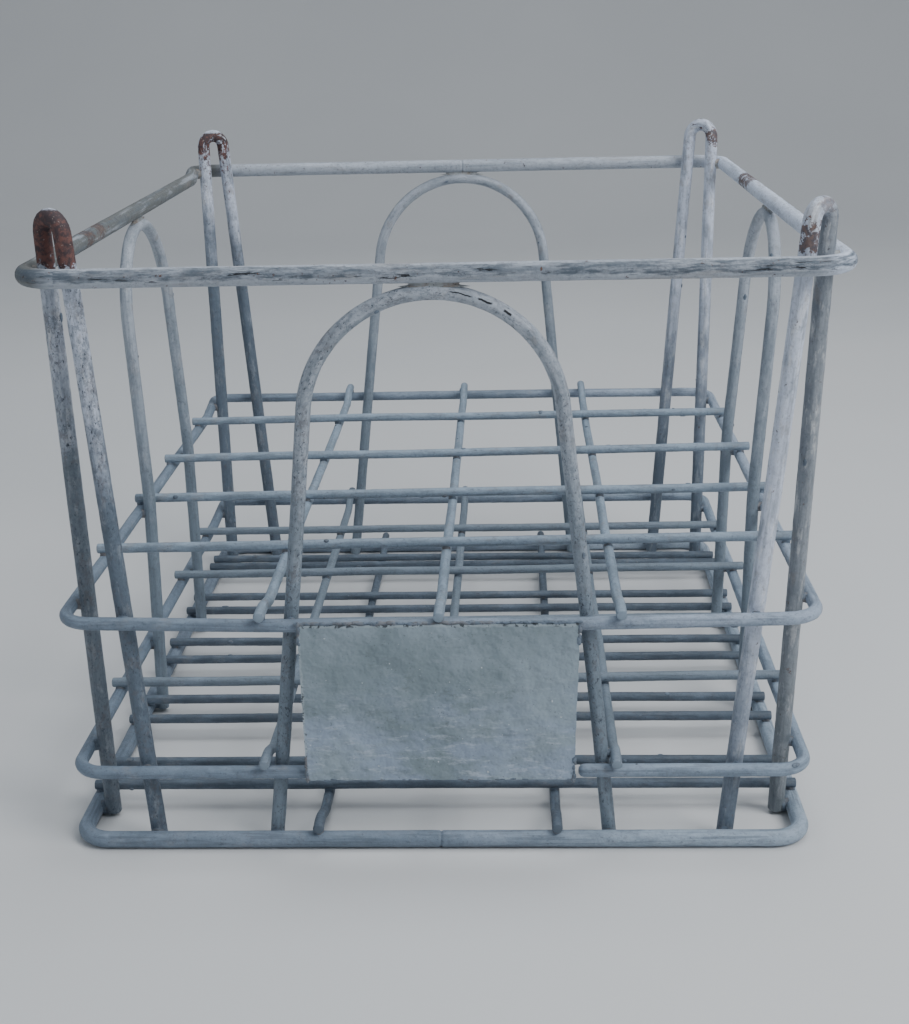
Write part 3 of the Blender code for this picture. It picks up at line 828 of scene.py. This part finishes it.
def build_plate():
    """Thin blank sheet on the front of two rings, dented by use, with uneven cut edges."""
    profile = plate_profile()
    count, columns = len(profile), round((PLATE_HIGH.x - PLATE_LOW.x) / PLATE_CELL)
    bm = bmesh.new()
    front, back = [], []
    for i, spot in enumerate(profile):
        left = PLATE_LOW.x + 0.35 + 0.45 * noise.noise(Vector((3.1, 0, spot.z * 0.30)))
        right = plate_right(spot.z) - 0.35 + 0.45 * noise.noise(Vector((9.4, 0, spot.z * 0.30)))
        height_share = i / (count - 1)
        rows = ([], [])
        for j in range(columns + 1):
            share = j / columns
            x = left + (right - left) * share
            edge = 0.0
            if i == 0:
                edge = -0.6 * (0.5 + noise.noise(Vector((x * 0.21, 4.0, 1.0))))
            elif i == count - 1:
                edge = 0.4 * (0.5 + noise.noise(Vector((x * 0.26, 1.0, 8.0))))
            dent = plate_dent(x, spot.z, share, height_share)
            for row, side in zip(rows, (-1, 1)):
                y = spot.y - dent + side * PLATE_THICK / 2
                row.append(bm.verts.new(Vector((x, y, spot.z + edge)) * MM))
        front.append(rows[0])
        back.append(rows[1])
    for grid in (front, back):
        for i in range(count - 1):
            for j in range(columns):
                bm.faces.new((grid[i][j], grid[i][j + 1], grid[i + 1][j + 1], grid[i + 1][j]))
    for i in range(count - 1):
        for j in (0, columns):
            bm.faces.new((front[i][j], front[i + 1][j], back[i + 1][j], back[i][j]))
    for i in (0, count - 1):
        for j in range(columns):
            bm.faces.new((front[i][j], front[i][j + 1], back[i][j + 1], back[i][j]))
    bmesh.ops.recalc_face_normals(bm, faces=bm.faces)
    finish_piece(bm, "plate_sheet", plate_paint("plate_paint"), ("name_plate",))
    build_plate_solder()


def build_plate_solder():
    """Ragged solder along the sheet's top edge, its sides by the rings, and its lower corners."""
    rng = random.Random(77)
    profile = plate_profile()
    top, foot = profile[0], profile[-1]
    front_y = top.y - PLATE_THICK / 2
    spots = []
    x = PLATE_LOW.x + 0.6
    while x < PLATE_HIGH.x - 0.6:
        size = rng.uniform(0.7, 1.25)
        spots.append((Vector((x, front_y + 0.75, top.z + rng.uniform(-0.1, 0.6))), Vector((2.1, 0.85, 0.8)) * size))
        x += rng.uniform(1.1, 2.3)
    for inward in (1, -1):
        for z_from, z_to in ((PLATE_LOW.z, PLATE_LOW.z + 11.0), (top.z - 9.0, top.z)):
            z = z_from
            while z < z_to:
                y = foot.y + (top.y - foot.y) * (z - foot.z) / (top.z - foot.z)
                edge = PLATE_LOW.x if inward > 0 else plate_right(z)
                size = rng.uniform(0.6, 1.1)
                spots.append((Vector((edge + inward * rng.uniform(0.2, 0.9), y - 0.35, z)),
                              Vector((0.9, 0.75, 1.6)) * size))
                z += rng.uniform(1.2, 2.4)
    x = PLATE_LOW.x + 1.0
    while x < plate_right(foot.z) - 1.0:
        if rng.random() < 0.45:
            spots.append((Vector((x, foot.y - 0.1, foot.z + rng.uniform(0.2, 0.6))),
                          Vector((1.8, 0.75, 0.6)) * rng.uniform(0.6, 1.0)))
        x += rng.uniform(2.0, 4.5)
    bm = bmesh.new()
    for place, size in spots:
        lump = bmesh.ops.create_icosphere(bm, subdivisions=2, radius=1.0)
        for vertex in lump["verts"]:
            p = Vector((vertex.co.x * size.x, vertex.co.y * size.y, vertex.co.z * size.z)) + place
            vertex.co = (p + 0.22 * noise.noise_vector(p * 0.9)) * MM
    bmesh.ops.recalc_face_normals(bm, faces=bm.faces)
    finish_piece(bm, "plate_solder", weld_metal("plate_solder_metal", GREY, 0.35))


# ---------------------------------------------------------------- welds

def junctions():
    """Every place where two wires nearly touch: (names, the closest point and direction on each wire, radii)."""
    tree = kdtree.KDTree(sum(len(w[2]) for w in WIRES))
    owners = []
    for index, (_, _, points) in enumerate(WIRES):
        for i, p in enumerate(points):
            tree.insert(p, len(owners))
            owners.append((index, i))
    tree.balance()
    best = {}
    for index, (_, radius, points) in enumerate(WIRES):
        for i, p in enumerate(points):
            for q, key, distance in tree.find_range(p, radius + 4.2 + 1.6):
                other, j = owners[key]
                if other <= index:
                    continue
                gap = distance - radius - WIRES[other][1]
                if gap > 1.3:
                    continue
                cell = (index, other, round(i * STATION / 40.0))
                if cell not in best or gap < best[cell][0]:
                    best[cell] = (gap, i, j)
    found = []
    for (index, other, _), (gap, i, j) in sorted(best.items(), key=lambda item: item[1][0]):
        a, b = nearest(WIRES[index][2], i, WIRES[other][2], j)
        if (b[0] - a[0]).length - WIRES[index][1] - WIRES[other][1] > 0.75:
            continue
        if any(f[0] == (WIRES[index][0], WIRES[other][0]) and (f[1] - a[0]).length < 22.0 for f in found):
            continue
        found.append(((WIRES[index][0], WIRES[other][0]), a[0], a[1], b[0], b[1],
                      WIRES[index][1], WIRES[other][1]))
    return found


def nearest(one, i, two, j):
    """Closest points of the two lines near these stations, each with its direction."""
    a0, a1 = one[max(i - 2, 0)], one[min(i + 2, len(one) - 1)]
    b0, b1 = two[max(j - 2, 0)], two[min(j + 2, len(two) - 1)]
    da, db = a1 - a0, b1 - b0
    w = a0 - b0
    aa, bb, ab = da.dot(da), db.dot(db), da.dot(db)
    aw, bw = da.dot(w), db.dot(w)
    det = aa * bb - ab * ab
    s = 0.5 if det < 0.02 * aa * bb else (ab * bw - bb * aw) / det
    s = min(1.0, max(0.0, s))
    t = min(1.0, max(0.0, (ab * s + bw) / bb))
    return (a0 + da * s, da.normalized()), (b0 + db * t, db.normalized())


def add_bead(bm, centre, normal, along, a, b, half, flare, seed):
    """A spool-shaped bead between two wires: waist radii a and b, flaring onto both."""
    across = normal.cross(along).normalized()
    along = across.cross(normal).normalized()
    levels, sides = 6, 24 if a > 2 * b else 18
    rings = []
    for i in range(levels + 1):
        t = 2 * i / levels - 1
        ring = []
        for k in range(sides):
            angle = 2 * math.pi * k / sides
            spread = 1.0 + flare * t * t
            p = centre + normal * (t * half) + (along * math.cos(angle) * a + across * math.sin(angle) * b) * spread
            shift = 0.5 if a < 2 * b else 0.3
            p += (p - centre).normalized() * shift * noise.noise(p * 0.33 + Vector((seed, 0, 0)))
            p.z = max(p.z, 0.2)
            ring.append(bm.verts.new(p * MM))
        rings.append(ring)
    for one, two in zip(rings, rings[1:]):
        for k in range(sides):
            n = (k + 1) % sides
            bm.faces.new((one[k], one[n], two[n], two[k]))
    for ring, turn in ((rings[0], -1), (rings[-1], 1)):
        middle = sum((v.co for v in ring), Vector()) / sides
        tip = bm.verts.new(middle + normal * (turn * 0.15 * half * MM))
        for k in range(sides):
            bm.faces.new((ring[k], ring[(k + 1) % sides], tip))


def build_welds():
    groups = {}
    for seed, ((one, two), a, da, b, db, ra, rb) in enumerate(junctions()):
        names = (one, two)
        for ring in ("rim_ring", "middle_ring", "lower_ring", "base_ring"):
            if ring in names:
                group = ring
                break
        else:
            group = "floor_long_1" if one.startswith("floor") or two.startswith("floor") else (
                "upper_long_1" if one.startswith("upper") else "lower_long_1")
        normal = (b - a).normalized()
        centre = (a + normal * ra + b - normal * rb) / 2
        small = min(ra, rb)
        if abs(da.dot(db)) > 0.85:
            size = (10.0, 1.4, 1.05, 0.45)
        else:
            size = (0.80 * small, 0.80 * small, 0.42 * small, 0.06)
        groups.setdefault(group, []).append((centre, normal, da, *size, seed))
    for group, beads in sorted(groups.items()):
        bm = bmesh.new()
        for bead in beads:
            add_bead(bm, *bead)
        bmesh.ops.recalc_face_normals(bm, faces=bm.faces)
        colour, brown = {"rim_ring": (CREAM, 0.75), "middle_ring": (GREY, 0.45)}.get(group, (SLATE, 0.35))
        finish_piece(bm, "welds_" + group, weld_metal("weld_%s_metal" % group, colour, brown))


def build_spatter():
    """Small runs and drops of paint and weld metal that stand proud of the wires."""
    rng = random.Random(1954)
    bm = bmesh.new()
    inside = [w for w in WIRES if w[0] not in ("rim_ring", "base_ring")]
    for _ in range(150):
        name, radius, points = inside[rng.randrange(len(inside))]
        i = rng.randrange(4, len(points) - 4)
        if points[i].z > RIM["z"]:
            continue
        tangent = (points[i + 1] - points[i - 1]).normalized()
        side = tangent.orthogonal().normalized()
        angle = rng.uniform(0, 2 * math.pi)
        out = math.cos(angle) * side + math.sin(angle) * tangent.cross(side)
        size = rng.uniform(0.45, 1.15)
        drop = bmesh.ops.create_icosphere(bm, subdivisions=2, radius=1.0)
        stretch = rng.uniform(1.0, 2.2)
        for vertex in drop["verts"]:
            p = vertex.co
            p = tangent * p.x * size * stretch + out * p.y * size * 0.55 + tangent.cross(out) * p.z * size
            p += points[i] + out * (radius - 0.1)
            p += 0.15 * size * noise.noise_vector(p * 1.3)
            p.z = max(p.z, 0.2)
            vertex.co = p * MM
    bmesh.ops.recalc_face_normals(bm, faces=bm.faces)
    finish_piece(bm, "paint_drops", weld_metal("drop_metal", GREY, 0.2))


# ---------------------------------------------------------------- stage

def build_stage():
    """Pale floor that sweeps up into a backdrop, and large soft lights."""
    bm = bmesh.new()
    profile = [(-3.0, 0.0), (1.6, 0.0)]
    for i in range(1, 13):
        angle = math.radians(90.0 * i / 12)
        profile.append((1.6 + 1.2 * math.sin(angle), 1.2 - 1.2 * math.cos(angle)))
    profile.append((2.8, 4.0))
    left = [bm.verts.new((-5.0, y, z)) for y, z in profile]
    right = [bm.verts.new((5.0, y, z)) for y, z in profile]
    for i in range(len(profile) - 1):
        bm.faces.new((left[i], right[i], right[i + 1], left[i + 1]))
    mesh = bpy.data.meshes.new("floor")
    bm.to_mesh(mesh)
    bm.free()
    mesh.shade_smooth()
    n = Nodes("floor_paint")
    n.feed(n.shader.inputs["Base Color"],
           n.mix(n.band(n.noise(1.4, 3.0), 0.35, 0.65), (0.60, 0.605, 0.61), (0.63, 0.633, 0.635)))
    n.feed(n.shader.inputs["Roughness"], n.band(n.noise(9.0, 3.0), 0.3, 0.7, 0.72, 0.82))
    mesh.materials.append(n.material)
    floor = bpy.data.objects.new("floor", mesh)
    bpy.context.scene.collection.objects.link(floor)

    world = bpy.data.worlds.new("studio")
    world.use_nodes = True
    world.node_tree.nodes["Background"].inputs["Color"].default_value = (0.82, 0.90, 1.0, 1.0)
    world.node_tree.nodes["Background"].inputs["Strength"].default_value = 0.36
    bpy.context.scene.world = world
    for name, place, aim, size, power, colour in (
            ("key", (1.05, -0.75, 1.25), (0.05, 0, 0.12), 0.9, 20.0, (0.97, 0.985, 1.0)),
            ("fill", (-1.6, -1.0, 1.0), (0, 0, 0.15), 1.4, 5.0, (0.86, 0.93, 1.0)),
            ("top", (0.2, 0.3, 2.0), (0, 0, 0.1), 1.4, 18.0, (0.93, 0.97, 1.0))):
        light = bpy.data.lights.new(name, "AREA")
        light.shape = "DISK"
        light.size = size
        light.energy = power
        light.color = colour
        lamp = bpy.data.objects.new(name, light)
        lamp.location = place
        lamp.rotation_euler = (Vector(aim) - Vector(place)).to_track_quat("-Z", "Y").to_euler()
        bpy.context.scene.collection.objects.link(lamp)


def build_camera():
    data = bpy.data.cameras.new("camera")
    data.sensor_fit = "HORIZONTAL"
    data.sensor_width = SENSOR_WIDTH
    data.lens = CAMERA_LENS
    data.clip_start, data.clip_end = 0.02, 50.0
    camera = bpy.data.objects.new("camera", data)
    camera.location = CAMERA_PLACE
    camera.rotation_euler = Euler([math.radians(a) for a in CAMERA_TURN], "XYZ")
    bpy.context.scene.collection.objects.link(camera)
    bpy.context.scene.camera = camera


build_camera()
build_rings()
build_hairpins()
build_arches()
build_dividers()
build_plate()
build_welds()
build_spatter()
build_stage()
